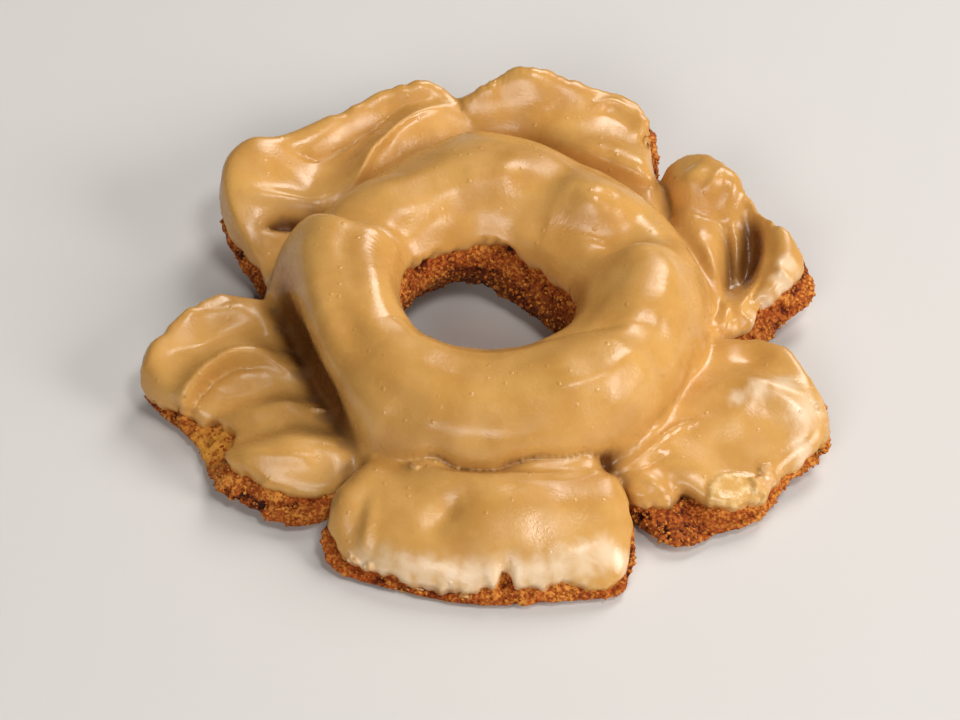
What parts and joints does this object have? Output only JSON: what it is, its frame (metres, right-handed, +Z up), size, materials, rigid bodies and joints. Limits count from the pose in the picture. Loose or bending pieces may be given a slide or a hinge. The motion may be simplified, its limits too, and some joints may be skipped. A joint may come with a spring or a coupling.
{
  "type": "old fashioned doughnut",
  "caption": "Ring of fried cake with a split, petalled crust and an open hole, coated on top with maple icing.",
  "frame": {"origin": "on the surface the doughnut lies on, under the middle of its bounding box, close to the middle of the hole", "axes": "+Z up through the hole, +Y towards the two tallest petals at the back, -Y towards the flat front petal, +X to the right as seen from the front"},
  "size_m": [0.0978, 0.0932, 0.0213],
  "materials": {
    "cake": "dry fried crust, crumbly where the icing leaves it bare",
    "maple_icing": "opaque sugar icing with a soft gloss and fine sugar grain"
  },
  "bodies": {
    "root": {"cake": "cake", "maple_icing": "maple_icing"}
  },
  "joints": []
}
